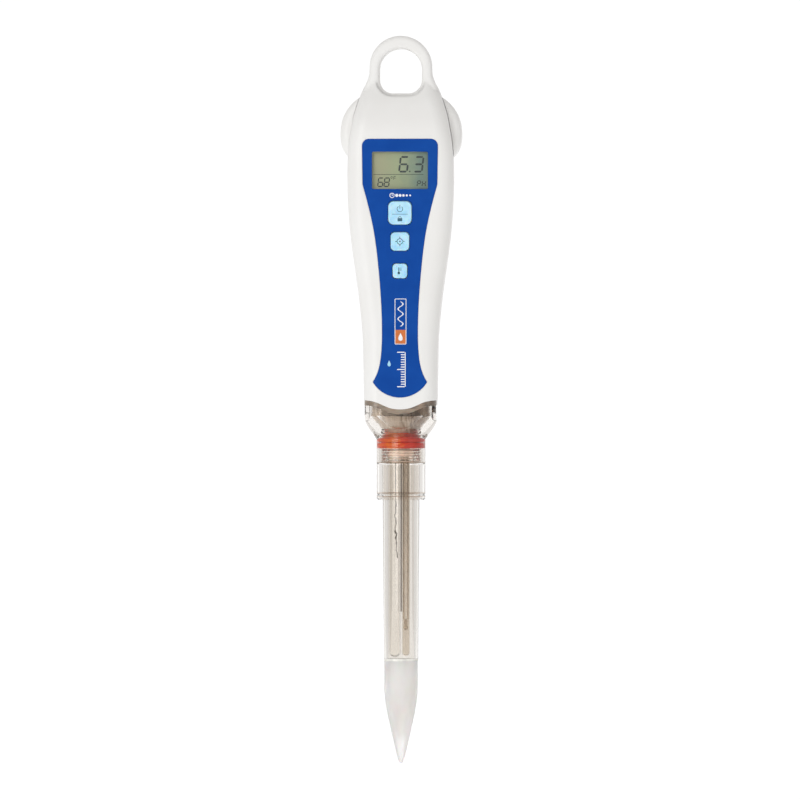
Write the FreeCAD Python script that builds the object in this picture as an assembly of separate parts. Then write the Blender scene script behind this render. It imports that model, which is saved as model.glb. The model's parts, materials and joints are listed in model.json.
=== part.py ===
import FreeCAD, Part
import math
import os

# Pen-type digital pH meter, in millimetres.
# Frame: +Z up along the probe axis, origin at the point of the spear tip,
# -Y is the face with the display and keys, +X is to the right of that face.

# ---------------------------------------------------------------- driving dimensions
TOTAL_HEIGHT = 250.0

# white case
CASE_WALL = 1.8
CASE_BOTTOM = 118.0          # the lofted form starts here, hidden by the wavy trim
SEAM_Y = 1.2                 # plane between the front and rear mouldings
SEAM_TOP = 226.5             # above this the front moulding is whole and carries the loop
CAVITY_TOP = 224.5
FRONT_CORNER = 5.0
REAR_CORNER = 6.5
FACE_Y = -11.0               # flat front face

# (height, half width, front y, rear y) of the case, from its lower end to the loop
CASE_SECTIONS = [
    (CASE_BOTTOM, 12.5, FACE_Y, 11.0),
    (122.0, 12.5, FACE_Y, 10.95),
    (126.0, 12.55, FACE_Y, 10.88),
    (130.5, 12.6, FACE_Y, 10.8),
    (135.0, 12.7, FACE_Y, 10.65),
    (141.0, 12.8, FACE_Y, 10.4),
    (147.0, 13.0, FACE_Y, 10.1),
    (155.0, 13.7, FACE_Y, 9.6),
    (163.4, 14.7, FACE_Y, 9.2),
    (171.7, 15.9, FACE_Y, 9.0),
    (180.0, 17.0, FACE_Y, 9.0),
    (188.2, 17.75, FACE_Y, 9.0),
    (196.4, 18.15, FACE_Y, 9.0),
    (206.8, 18.15, FACE_Y, 9.0),
    (214.0, 17.6, FACE_Y, 9.0),
    (217.5, 17.05, -10.85, 9.0),
    (221.0, 16.4, -10.2, 9.0),
    (226.0, 15.1, -8.5, 8.9),
    (230.0, 13.75, -6.6, 7.1),
    (233.4, 12.1, -5.15, 5.0),
    (236.4, 10.6, -4.4, 4.4),
]

# hanging loop
LOOP_RADIUS = 10.7
LOOP_HALF_DEPTH = 4.6
LOOP_EDGE = 1.3
LOOP_CENTRE_Z = TOTAL_HEIGHT - LOOP_RADIUS
LOOP_FOOT_Z = 231.0
HOLE_RADIUS = 7.3
HOLE_CENTRE_Z = 238.2
HOLE_BOTTOM_Z = 230.2
HOLE_CORNER = 4.7
HOLE_EDGE = 1.1

# wavy lower trim of the case and the gasket under it
WAVE_SIDE_Z = 124.7
WAVE_CENTRE_Z = 121.6
GASKET_HEIGHT = 1.7
GASKET_INSET = 0.12
SEAL_BEAD = 0.7

# blue face label
LABEL_THICKNESS = 0.3
LABEL_TOP_Z = 214.4
LABEL_TOP_CORNER = 2.4
LABEL_HALF_WIDTH = 13.0
LABEL_SHOULDER_Z = 198.8
LABEL_TIP = (9.3, 131.0)
LABEL_BOTTOM_Z = 125.7

# display
WINDOW_Z = 203.6
WINDOW_VIEW = (19.2, 12.8)
WINDOW_SIZE = (21.2, 14.8)
WINDOW_THICKNESS = 1.1
LCD_SIZE = (24.0, 16.6)
LCD_THICKNESS = 2.0
LCD_FRONT_Y = FACE_Y + CASE_WALL + 0.1
BEZEL_WALL = 1.3

# keys: name, height of the centre, width of the square cap
KEYS = [
    ("power_button", 189.0, 8.0),
    ("cal_button", 179.2, 6.35),
    ("units_button", 169.1, 5.0),
]
KEY_PROUD = 0.6
KEY_GAP = 0.2
KEY_TRAVEL = 0.5
KEY_CORNER = 0.24            # corner radius as a share of the cap's width
KEY_EDGE = 0.35
KEY_FLANGE = 1.0
KEY_FLANGE_MAX = 9.4
KEY_FLANGE_THICKNESS = 0.7

# circuit board
BOARD_FRONT_Y = -4.9
BOARD_THICKNESS = 1.6
BOARD_BOTTOM_Z = 138.0
BOARD_TOP_Z = 219.0
BOARD_HALF_LOW = 8.6
BOARD_HALF_HIGH = 13.4
BOARD_SCREWS = [(0.0, 160.0), (0.0, 146.0)]
SWITCH_HEIGHT = 1.7

# AAA cell
CELL_DIAMETER = 10.5
CELL_LENGTH = 44.5
CELL_Y = 3.4
CELL_BOTTOM_Z = 178.3
SPRING_LENGTH = 3.6

# battery cover, a saddle over the back of the case
COVER_BOTTOM_Z = 172.6
COVER_TOP_Z = 230.0
COVER_FRONT_Y = -3.0
COVER_REAR_Y = 11.2
COVER_WALL = 1.6
COVER_CLEARANCE = 0.14
COVER_FRONT_ROLL = 2.6       # rounding of the wings towards the face
COVER_REAR_ROLL = 2.4
COVER_RIB = 0.4              # grip ribs at the foot of the cover
COVER_RIB_COUNT = 5
COVER_RIB_PITCH = 2.6
SEAL_CLEARANCE = 0.05

# clear neck
NECK_HALF_WIDTH = 12.3
NECK_HALF_DEPTH = 10.9
NECK_RADIUS = 8.4
NECK_BOTTOM_Z = 103.2
NECK_BORE = 7.05
SPIGOT_TOP_Z = 131.0
SPIGOT_FOOT_Z = 118.0
SPIGOT_FIT = 0.2
CHAMBER_HALF_WIDTH = 9.9
CHAMBER_HALF_DEPTH = 9.2     # below the spigot
CHAMBER_CORNER = 3.6
CHAMBER_SHAFT_DEPTH = 7.2    # half depth inside the spigot
CHAMBER_STEP_Z = 119.4
CHAMBER_FOOT_Z = 113.4
CHAMBER_FOOT_RADIUS = 5.0
CHAMBER_FLANK = [(5.7, 114.2), (7.3, 115.4), (8.9, 117.2), (10.4, 119.2), (12.2, 121.2), (14.0, 123.0)]
POTTING_TOP_Z = 124.0

# probe
COLLAR_BOTTOM_Z = 90.5
COLLAR_TOP_Z = 113.2
COLLAR_BORE = 6.5
THREAD_RADIUS = 6.9
THREAD_PITCH = 1.0
LEAD_BORE = 4.6
BARREL_TOP_Z = 102.5
BARREL_BOTTOM_Z = 35.9
BARREL_TOP_RADIUS = 6.45
BARREL_BOTTOM_RADIUS = 5.9
BARREL_INNER_RADIUS = 4.5
O_RINGS = [("o_ring_upper", 111.6, 0.95), ("o_ring_lower", 109.1, 0.8)]
STEM_X = -2.2
STEM_RADIUS = 2.05
STEM_WALL = 0.5
STEM_FOOT_Z = BARREL_BOTTOM_Z + 0.4
SENSOR_X = 1.65
SENSOR_RADIUS = 1.4
SENSOR_WALL = 0.35
SENSOR_FOOT_Z = BARREL_BOTTOM_Z + 0.9
SENSOR_BEAD_Z = 46.6
SENSOR_LEAD_FOOT_Z = 49.5
SENSOR_LEAD_OFFSET = 0.7
WIRE_TOP_Z = 112.0
REFERENCE_Y = 3.3
REFERENCE_RADIUS = 0.3
STEM_SEAL_SPAN = (105.0, 108.0)
LEAD_TOP_Z = 143.0
SILVER_WIRE = [(-1.25, 0.0, 70.5), (-1.5, 0.0, 77.0), (-1.95, 0.15, 79.0), (-1.75, -0.1, 82.0),
               (-2.15, 0.15, 84.0), (-1.95, 0.0, 86.5), (-1.9, 0.0, WIRE_TOP_Z)]
JUNCTION_HEIGHT = 0.9
TIP_RADIUS = 5.75
TIP_WALL = 1.4

FAR = 60.0                   # larger than any section of the meter


# ---------------------------------------------------------------- helpers
def at(x, y, z):
    return FreeCAD.Vector(x, y, z)


def box(x0, x1, y0, y1, z0, z1):
    return Part.makeBox(x1 - x0, y1 - y0, z1 - z0, at(x0, y0, z0))


def upright(radius, z0, z1, x=0.0, y=0.0):
    return Part.makeCylinder(radius, z1 - z0, at(x, y, z0))


def tube(outer, inner, z0, z1, x=0.0, y=0.0):
    return upright(outer, z0, z1, x, y).cut(upright(inner, z0, z1, x, y))


def line(start, end):
    return Part.LineSegment(start, end).toShape()


def arc(start, middle, end):
    return Part.Arc(start, middle, end).toShape()


def spline(points, start_tangent=None, end_tangent=None):
    curve = Part.BSplineCurve()
    if start_tangent is None:
        curve.interpolate(points)
    else:
        curve.interpolate(Points=points, InitialTangent=start_tangent, FinalTangent=end_tangent)
    return curve.toShape()


def rounded_rect(z, half_width, y_front, y_rear, front_corner, rear_corner):
    """Closed wire at height z with different corner radii at the front and the rear."""
    corners = [
        (half_width, y_front, -1, 1, front_corner),
        (half_width, y_rear, -1, -1, rear_corner),
        (-half_width, y_rear, 1, -1, rear_corner),
        (-half_width, y_front, 1, 1, front_corner),
    ]
    ends = []
    for index, (x, y, towards_x, towards_y, radius) in enumerate(corners):
        along_x = at(x + towards_x * radius, y, z)
        along_y = at(x, y + towards_y * radius, z)
        centre = at(x + towards_x * radius, y + towards_y * radius, z)
        diagonal = radius / math.sqrt(2.0)
        middle = centre + at(-towards_x * diagonal, -towards_y * diagonal, 0.0)
        pair = (along_x, middle, along_y) if index % 2 == 0 else (along_y, middle, along_x)
        ends.append(pair)
    edges = []
    for index, (start, middle, end) in enumerate(ends):
        edges.append(arc(start, middle, end))
        following = ends[(index + 1) % len(ends)][0]
        edges.append(line(end, following))
    return Part.Wire(edges)


def case_form(offset, z_top):
    """The case as a loft. A positive offset grows it, a negative one shrinks it."""
    wires = []
    rows = [row for row in CASE_SECTIONS if row[0] < z_top]
    rows.append(case_row_at(z_top))
    for z, half_width, y_front, y_rear in rows:
        largest = (y_rear - y_front) / 2.0 - 0.4
        front_corner = min(FRONT_CORNER, largest) + offset
        rear_corner = min(REAR_CORNER, largest) + offset
        wires.append(rounded_rect(z, half_width + offset, y_front - offset, y_rear + offset,
                                  front_corner, rear_corner))
    return Part.makeLoft(wires, True, False)


def case_row_at(z):
    """The case section at a height, in a straight line between two rows of the table."""
    for lower, upper in zip(CASE_SECTIONS, CASE_SECTIONS[1:]):
        if lower[0] <= z <= upper[0]:
            share = (z - lower[0]) / (upper[0] - lower[0])
            return tuple(a + share * (b - a) for a, b in zip(lower, upper))
    raise ValueError("height outside the case: %s" % z)


def prism(edges, y0, y1):
    """A closed outline in the XZ plane, extruded from y0 to y1."""
    face = Part.Face(Part.Wire(Part.__sortEdges__(edges)))
    solid = face.extrude(at(0, y1 - y0, 0))
    solid.translate(at(0, y0, 0))
    return solid


def rounded_block(width, height, corner, y0, y1, z):
    """A block lying in the face, width by height, with its four long edges rounded."""
    block = box(-width / 2, width / 2, y0, y1, z - height / 2, z + height / 2)
    along_y = [edge for edge in block.Edges if abs(edge.tangentAt(edge.FirstParameter).y) > 0.99]
    return block.makeFillet(corner, along_y)


def mirrored_outline(right_side):
    """Points down the right side, followed by their mirror images in reverse order."""
    return right_side, [(-x, z) for x, z in reversed(right_side)]


def flat_points(pairs):
    return [at(x, 0, z) for x, z in pairs]


def revolve(profile):
    """Profile points (radius, z), joined by straight lines, turned about the probe axis."""
    points = [at(radius, 0, z) for radius, z in profile]
    wire = Part.makePolygon(points + [points[0]])
    return Part.Face(wire).revolve(at(0, 0, 0), at(0, 0, 1), 360)


def edges_at_y(shape, y, z_above=-FAR):
    chosen = []
    for edge in shape.Edges:
        bounds = edge.BoundBox
        if abs(bounds.YMin - y) < 1e-4 and abs(bounds.YMax - y) < 1e-4 and bounds.ZMax > z_above:
            chosen.append(edge)
    return chosen


def group(solids):
    return Part.makeCompound(solids)


def save(name, shape):
    shape.exportStep("parts/%s.step" % name)
    solids = len(shape.Solids)
    print("%-22s %2d solid(s) %9.2f mm3 valid=%s" % (name, solids, shape.Volume, shape.isValid()))


# ---------------------------------------------------------------- case
def wave_prism(drop):
    """Everything below the wavy lower edge of the case, lowered by drop."""
    side = WAVE_SIDE_Z - drop
    centre = WAVE_CENTRE_Z - drop
    depth = side - centre
    wave = [(-14.0, side), (-11.0, side - 0.03 * depth), (-8.2, side - 0.22 * depth),
            (-4.0, side - 0.80 * depth), (0.0, centre),
            (4.0, side - 0.80 * depth), (8.2, side - 0.22 * depth), (11.0, side - 0.03 * depth),
            (14.0, side)]
    floor = NECK_BOTTOM_Z - 10.0
    edges = [
        spline(flat_points(wave)),
        line(at(14.0, 0, side), at(14.0, 0, floor)),
        line(at(14.0, 0, floor), at(-14.0, 0, floor)),
        line(at(-14.0, 0, floor), at(-14.0, 0, side)),
    ]
    return prism(edges, -FAR / 2, FAR / 2)


def loop_hole(grow):
    """The opening of the hanging loop: round at the top, nearly flat at the bottom."""
    radius = HOLE_RADIUS + grow
    corner = HOLE_CORNER + grow
    bottom = HOLE_BOTTOM_Z - grow
    side_foot = bottom + corner
    flat = radius - corner
    diagonal = corner / math.sqrt(2.0)
    edges = [
        arc(at(-radius, 0, HOLE_CENTRE_Z), at(0, 0, HOLE_CENTRE_Z + radius), at(radius, 0, HOLE_CENTRE_Z)),
        line(at(radius, 0, HOLE_CENTRE_Z), at(radius, 0, side_foot)),
        arc(at(radius, 0, side_foot), at(flat + diagonal, 0, side_foot - diagonal), at(flat, 0, bottom)),
        line(at(flat, 0, bottom), at(-flat, 0, bottom)),
        arc(at(-flat, 0, bottom), at(-flat - diagonal, 0, side_foot - diagonal), at(-radius, 0, side_foot)),
        line(at(-radius, 0, side_foot), at(-radius, 0, HOLE_CENTRE_Z)),
    ]
    return prism(edges, -FAR / 2, FAR / 2)


def flared_loop_hole():
    """The opening with its rims rounded where it leaves the two flat faces of the loop."""
    depth = LOOP_HALF_DEPTH
    slab = box(-FAR, FAR, -depth, depth, LOOP_FOOT_Z - FAR, TOTAL_HEIGHT + FAR)
    plate = slab.cut(loop_hole(0.0))
    rims = edges_at_y(plate, -depth) + edges_at_y(plate, depth)
    reach = HOLE_RADIUS + 1.0
    rims = [edge for edge in rims if edge.BoundBox.XMax < reach and edge.BoundBox.XMin > -reach]
    plug = slab.cut(plate.makeFillet(HOLE_EDGE, rims))
    return plug.fuse(loop_hole(HOLE_EDGE).cut(slab))


def loop_plate():
    """The loop's ring and the shoulders that run down into the case."""
    flank = [(12.9, LOOP_FOOT_Z), (11.9, 233.6), (11.0, 236.0), (LOOP_RADIUS, LOOP_CENTRE_Z)]
    right, left = mirrored_outline(flank)
    edges = [
        spline(flat_points(right), at(-0.35, 0, 1), at(0, 0, 1)),
        arc(at(LOOP_RADIUS, 0, LOOP_CENTRE_Z), at(0, 0, TOTAL_HEIGHT),
            at(-LOOP_RADIUS, 0, LOOP_CENTRE_Z)),
        spline(flat_points(left), at(0, 0, -1), at(-0.35, 0, -1)),
        line(at(left[-1][0], 0, LOOP_FOOT_Z), at(right[0][0], 0, LOOP_FOOT_Z)),
    ]
    plate = prism(edges, -LOOP_HALF_DEPTH, LOOP_HALF_DEPTH)
    rim = edges_at_y(plate, -LOOP_HALF_DEPTH, LOOP_FOOT_Z + 1.0)
    rim += edges_at_y(plate, LOOP_HALF_DEPTH, LOOP_FOOT_Z + 1.0)
    return plate.makeFillet(LOOP_EDGE, rim)


def label_outline(grow):
    """Outline of the face label, grown outwards by a small amount."""
    half = LABEL_HALF_WIDTH + grow
    top = LABEL_TOP_Z + grow
    corner = LABEL_TOP_CORNER + grow
    tip_x, tip_z = LABEL_TIP[0] + grow, LABEL_TIP[1]
    side = [(half - 0.2, LABEL_SHOULDER_Z), (11.1 + grow, 192.5), (9.15 + grow, 184.0),
            (7.5 + grow, 172.0), (6.5 + grow, 160.0), (6.1 + grow, 149.0),
            (6.4 + grow, 140.5), (7.6 + grow, 134.4), (tip_x, tip_z)]
    right, left = mirrored_outline(side)
    diagonal = corner / math.sqrt(2.0)
    shoulder_x = half - 0.2
    return [
        line(at(shoulder_x, 0, LABEL_SHOULDER_Z), at(half, 0, top - corner)),
        arc(at(half, 0, top - corner), at(half - corner + diagonal, 0, top - corner + diagonal),
            at(half - corner, 0, top)),
        line(at(half - corner, 0, top), at(-half + corner, 0, top)),
        arc(at(-half + corner, 0, top), at(-half + corner - diagonal, 0, top - corner + diagonal),
            at(-half, 0, top - corner)),
        line(at(-half, 0, top - corner), at(-shoulder_x, 0, LABEL_SHOULDER_Z)),
        spline(flat_points(left)),
        arc(at(-tip_x, 0, tip_z), at(0, 0, LABEL_BOTTOM_Z - grow), at(tip_x, 0, tip_z)),
        spline(flat_points(right)),
    ]


def label_layer(form, grow, thickness):
    """The outermost layer of the case form's front, within the label's outline."""
    block = prism(label_outline(grow), FACE_Y - 1.0, FACE_Y + 4.0).common(form)
    deeper = form.copy()
    deeper.translate(at(0, thickness, 0))
    return block.cut(deeper)


def key_holes(clearance, y0, y1):
    holes = []
    for _, z, width in KEYS:
        side = width + 2 * clearance
        holes.append(rounded_block(side, side, KEY_CORNER * width, y0, y1, z))
    return holes


def make_case():
    outer = case_form(0.0, CASE_SECTIONS[-1][0])
    inner = case_form(-CASE_WALL, CAVITY_TOP)
    below = wave_prism(0.0)
    body = outer.fuse(loop_plate()).cut(flared_loop_hole()).cut(inner).cut(below)
    front_space = box(-FAR, FAR, -FAR, SEAM_Y, 0, SEAM_TOP)
    front_space = front_space.fuse(box(-FAR, FAR, -FAR, FAR, SEAM_TOP, 2 * TOTAL_HEIGHT))
    front = body.common(front_space)
    rear = body.cut(front_space)
    return outer, front, rear


def finish_front(front, outer):
    front = front.cut(label_layer(outer, 0.12, LABEL_THICKNESS))
    pocket = rounded_block(*WINDOW_SIZE, 1.0, FACE_Y - 1.0, FACE_Y + 6.0, WINDOW_Z)
    front = front.cut(pocket)
    for hole in key_holes(KEY_GAP, FACE_Y - 1.0, FACE_Y + 6.0):
        front = front.cut(hole)
    inner_face = FACE_Y + CASE_WALL
    for x, z in BOARD_SCREWS:
        length = BOARD_FRONT_Y - inner_face + 0.2
        boss = Part.makeCylinder(2.2, length, at(x, inner_face - 0.2, z), at(0, 1, 0))
        pilot = Part.makeCylinder(0.9, 3.6, at(x, BOARD_FRONT_Y - 3.6, z), at(0, 1, 0))
        front = front.fuse(boss).cut(pilot)
    return front


def finish_rear(rear):
    half = CELL_DIAMETER / 2 + 0.5
    z0 = CELL_BOTTOM_Z - 1.0
    z1 = CELL_BOTTOM_Z + CELL_LENGTH + 0.4
    slot = box(-half, half, 5.0, FAR, z0, z1)
    return rear.cut(slot)


def make_case_seal():
    """A bead along each side seam, halfway through the wall of the two mouldings."""
    half = SEAL_BEAD / 2
    outer = case_form(half - CASE_WALL / 2, SEAM_TOP - 3.0)
    inner = case_form(-half - CASE_WALL / 2, SEAM_TOP - 3.0)
    slab = box(-FAR, FAR, SEAM_Y - half, SEAM_Y + half, SPIGOT_TOP_Z + 1.0, SEAM_TOP - 4.0)
    return outer.cut(inner).common(slab)


# ---------------------------------------------------------------- battery cover
def cover_outline(inset):
    """Outline of the saddle seen from behind: a tongue that widens into two wings."""
    side = [(11.3, COVER_BOTTOM_Z + 3.2), (12.0, 190.0), (12.9, 201.0), (15.2, 206.4),
            (18.5, 208.9), (20.1, 211.3), (20.8, 215.0), (20.5, 219.8), (19.3, 223.3),
            (17.0, 226.6), (14.0, 229.0)]
    side = [(x - inset, z) for x, z in side]
    side[-1] = (side[-1][0], side[-1][1] - 0.4 * inset)
    right, left = mirrored_outline(side)
    foot_x = right[0][0] - 3.2
    floor = COVER_BOTTOM_Z + inset
    return [
        spline(flat_points(right)),
        arc(flat_points([right[-1]])[0], at(0, 0, COVER_TOP_Z - inset), flat_points([left[0]])[0]),
        spline(flat_points(left)),
        arc(flat_points([left[-1]])[0], at(-foot_x - 2.3, 0, floor + 0.9), at(-foot_x, 0, floor)),
        line(at(-foot_x, 0, floor), at(foot_x, 0, floor)),
        arc(at(foot_x, 0, floor), at(foot_x + 2.3, 0, floor + 0.9), flat_points([right[0]])[0]),
    ]


def make_battery_cover():
    shell = prism(cover_outline(0.0), COVER_FRONT_Y, COVER_REAR_Y)
    shell = shell.makeFillet(COVER_REAR_ROLL, edges_at_y(shell, COVER_REAR_Y))
    shell = shell.makeFillet(COVER_FRONT_ROLL, edges_at_y(shell, COVER_FRONT_Y))
    hollow = prism(cover_outline(COVER_WALL), COVER_FRONT_Y + COVER_WALL, COVER_REAR_Y - COVER_WALL)
    cover = shell.cut(hollow).cut(case_form(COVER_CLEARANCE, CASE_SECTIONS[-1][0]))
    for index in range(COVER_RIB_COUNT):
        z = COVER_BOTTOM_Z + 5.0 + COVER_RIB_PITCH * index
        rib = box(-6.0, 6.0, COVER_REAR_Y - 0.6, COVER_REAR_Y + COVER_RIB, z - 0.5, z + 0.5)
        rib = rib.makeFillet(0.3, edges_at_y(rib, COVER_REAR_Y + COVER_RIB))
        cover = cover.fuse(rib)
    return largest(cover)


def make_battery_cover_seal():
    """A flat ring on the back of the case, around the opening for the cell."""
    face = CASE_SECTIONS[-4][3]
    z = CELL_BOTTOM_Z + CELL_LENGTH / 2 - 0.3
    seal = rounded_block(14.6, 50.0, 3.0, face - 1.0, face + 0.5, z)
    seal = seal.cut(rounded_block(12.6, 48.0, 2.0, face - 2.0, face + 1.0, z))
    return seal.cut(case_form(SEAL_CLEARANCE, CASE_SECTIONS[-1][0]))


def largest(shape):
    """The biggest solid of a cut, without the offcuts."""
    return max(shape.Solids, key=lambda solid: solid.Volume)


# ---------------------------------------------------------------- probe
def neck_spigot():
    """The block on top of the neck that plugs into the open lower end of the case."""
    half_width = CASE_SECTIONS[0][1] - CASE_WALL - SPIGOT_FIT
    half_depth = CASE_SECTIONS[4][3] - CASE_WALL - SPIGOT_FIT
    section = rounded_rect(SPIGOT_FOOT_Z, half_width, -half_depth, half_depth, 3.3, 5.2)
    return Part.Face(section).extrude(at(0, 0, SPIGOT_TOP_Z - SPIGOT_FOOT_Z))


def chamber_form(shrink, z_top):
    """The hollow of the neck, or the block that fills it: a wide funnel with a narrower shaft above."""
    foot = CHAMBER_FOOT_Z - 0.1 + shrink
    flank = [(radius - shrink, z) for radius, z in CHAMBER_FLANK]
    base = [(0, foot), (CHAMBER_FOOT_RADIUS - shrink, foot)]
    funnel = revolve(base + flank + [(flank[-1][0], z_top), (0, z_top)])
    half_width = CHAMBER_HALF_WIDTH - shrink
    step = CHAMBER_STEP_Z - shrink
    parts = []
    for half_depth, z0, z1 in ((CHAMBER_HALF_DEPTH, foot, step), (CHAMBER_SHAFT_DEPTH, foot, z_top)):
        depth = half_depth - shrink
        section = rounded_rect(z0, half_width, -depth, depth, CHAMBER_CORNER, CHAMBER_CORNER)
        parts.append(Part.Face(section).extrude(at(0, 0, z1 - z0)))
    return funnel.common(parts[0].fuse(parts[1]))


def make_neck():
    shoulder = [(0, NECK_BOTTOM_Z), (NECK_RADIUS, NECK_BOTTOM_Z), (NECK_RADIUS, 111.3), (8.95, 112.1),
                (9.7, 113.2), (10.7, 114.5), (11.7, 116.1), (12.6, 117.9), (13.6, 119.6), (15.0, 121.4),
                (16.5, 123.0), (16.5, SPIGOT_TOP_Z), (0, SPIGOT_TOP_Z)]
    turned = revolve(shoulder)
    upper = Part.Face(rounded_rect(NECK_BOTTOM_Z - 1, NECK_HALF_WIDTH, -NECK_HALF_DEPTH, NECK_HALF_DEPTH,
                                   FRONT_CORNER, REAR_CORNER - 0.1)).extrude(at(0, 0, 40.0))
    visible = turned.common(upper).common(wave_prism(GASKET_HEIGHT))
    bore = upright(NECK_BORE, NECK_BOTTOM_Z - 1, CHAMBER_FOOT_Z)
    return visible.fuse(neck_spigot()).cut(bore).cut(chamber_form(0.0, SPIGOT_TOP_Z + 1))


def make_case_gasket():
    ring = Part.Face(rounded_rect(116.0, CASE_SECTIONS[0][1] - GASKET_INSET, FACE_Y + GASKET_INSET,
                                  CASE_SECTIONS[0][3] - GASKET_INSET, FRONT_CORNER, REAR_CORNER))
    ring = ring.extrude(at(0, 0, 10.0))
    return ring.common(wave_prism(0.0)).cut(wave_prism(GASKET_HEIGHT)).cut(neck_spigot())


def make_collar():
    profile = [(COLLAR_BORE, COLLAR_BOTTOM_Z), (NECK_RADIUS - 0.5, COLLAR_BOTTOM_Z),
               (NECK_RADIUS, COLLAR_BOTTOM_Z + 0.5), (NECK_RADIUS, COLLAR_BOTTOM_Z + 1.5),
               (NECK_RADIUS - 0.3, COLLAR_BOTTOM_Z + 1.7), (NECK_RADIUS - 0.3, COLLAR_BOTTOM_Z + 1.9),
               (NECK_RADIUS, COLLAR_BOTTOM_Z + 2.1), (NECK_RADIUS, NECK_BOTTOM_Z - 0.25),
               (NECK_RADIUS - 0.25, NECK_BOTTOM_Z), (THREAD_RADIUS - 0.5, NECK_BOTTOM_Z)]
    thread_foot = NECK_BOTTOM_Z + 0.3
    for turn in range(4):
        z = thread_foot + turn * THREAD_PITCH
        profile += [(THREAD_RADIUS - 0.5, z), (THREAD_RADIUS, z + 0.3), (THREAD_RADIUS, z + 0.6),
                    (THREAD_RADIUS - 0.5, z + 0.9)]
    profile.append((THREAD_RADIUS, 107.9))
    for _, z, thickness in reversed(O_RINGS):
        seat = NECK_BORE - 2 * thickness
        profile += [(THREAD_RADIUS, z - thickness - 0.05), (seat, z - thickness - 0.05),
                    (seat, z + thickness + 0.05), (THREAD_RADIUS, z + thickness + 0.05)]
    profile += [(THREAD_RADIUS, COLLAR_TOP_Z), (LEAD_BORE, COLLAR_TOP_Z), (LEAD_BORE, BARREL_TOP_Z + 0.1),
                (COLLAR_BORE, BARREL_TOP_Z + 0.1)]
    return revolve(profile)


def make_o_ring(z, thickness):
    ring = Part.makeTorus(NECK_BORE - thickness, thickness - 0.02)
    ring.translate(at(0, 0, z))
    return ring


def make_barrel():
    """Drafted outside, straight inside."""
    return revolve([(BARREL_BOTTOM_RADIUS, BARREL_BOTTOM_Z), (BARREL_TOP_RADIUS, BARREL_TOP_Z),
                    (BARREL_INNER_RADIUS, BARREL_TOP_Z), (BARREL_INNER_RADIUS, BARREL_BOTTOM_Z)])


def make_closed_tube(x, radius, wall, z0, z1):
    """A glass tube with a round closed foot."""
    outer = upright(radius, z0 + radius, z1, x)
    outer = outer.fuse(Part.makeSphere(radius, at(x, 0, z0 + radius)))
    inner_radius = radius - wall
    inner = upright(inner_radius, z0 + radius, z1 + 1.0, x)
    inner = inner.fuse(Part.makeSphere(inner_radius, at(x, 0, z0 + radius)))
    return outer.cut(inner)


def bent_wire(points, radius):
    """Round wire through straight runs, with a ball at each bend."""
    solids = []
    for start, end in zip(points, points[1:]):
        run = end - start
        solids.append(Part.makeCylinder(radius, run.Length, start, run))
    joints = [Part.makeSphere(radius, point) for point in points[1:-1]]
    return solids[0].multiFuse(solids[1:] + joints)


def make_tip():
    """The spear: a short cylinder that tapers in a gentle curve to a blunt point."""
    top = BARREL_BOTTOM_Z - JUNCTION_HEIGHT
    curve = [(0.6, 0.35), (1.3, 2.4), (2.2, 6.0), (3.25, 10.7), (4.45, 16.0), (5.35, 21.0),
             (TIP_RADIUS, 26.0)]
    nose = arc(at(0, 0, 0), at(0.4, 0, 0.1), at(0.6, 0, 0.35))
    flank = spline([at(radius, 0, z) for radius, z in curve])
    inner_foot = 9.0
    inner = [(TIP_RADIUS, 26.0), (TIP_RADIUS, top), (TIP_RADIUS - TIP_WALL, top),
             (TIP_RADIUS - TIP_WALL, 24.0), (0.8, inner_foot), (0.0, inner_foot)]
    runs = [line(at(a[0], 0, a[1]), at(b[0], 0, b[1])) for a, b in zip(inner, inner[1:])]
    runs.append(line(at(0, 0, inner_foot), at(0, 0, 0)))
    face = Part.Face(Part.Wire([nose, flank] + runs))
    return face.revolve(at(0, 0, 0), at(0, 0, 1), 360)


def make_temperature_sensor():
    bead = Part.makeSphere(0.85, at(SENSOR_X, 0, SENSOR_BEAD_Z))
    return bead.fuse(upright(0.6, SENSOR_BEAD_Z, SENSOR_LEAD_FOOT_Z, SENSOR_X))


def make_sensor_leads():
    places = (SENSOR_X - SENSOR_LEAD_OFFSET, SENSOR_X + SENSOR_LEAD_OFFSET)
    return group([upright(0.25, SENSOR_LEAD_FOOT_Z, WIRE_TOP_Z, x) for x in places])


def make_reference_wire():
    return upright(REFERENCE_RADIUS, 52.0, WIRE_TOP_Z, 0.0, REFERENCE_Y)


def make_stem_seal():
    """Silicone bung in the collar, bored for the two glass tubes and the reference wire."""
    z0, z1 = STEM_SEAL_SPAN
    seal = upright(LEAD_BORE - 0.02, z0, z1)
    held = ((STEM_X, 0, STEM_RADIUS), (SENSOR_X, 0, SENSOR_RADIUS), (0, REFERENCE_Y, REFERENCE_RADIUS))
    for x, y, radius in held:
        seal = seal.cut(upright(radius + 0.02, z0, z1, x, y))
    return seal


def make_probe_leads():
    """Three insulated leads from the potted chamber up to the back of the circuit board."""
    y = BOARD_FRONT_Y + BOARD_THICKNESS + 0.5
    return group([upright(0.5, CHAMBER_FOOT_Z, LEAD_TOP_Z, x, y) for x in (-3.0, 0.0, 3.0)])


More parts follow.
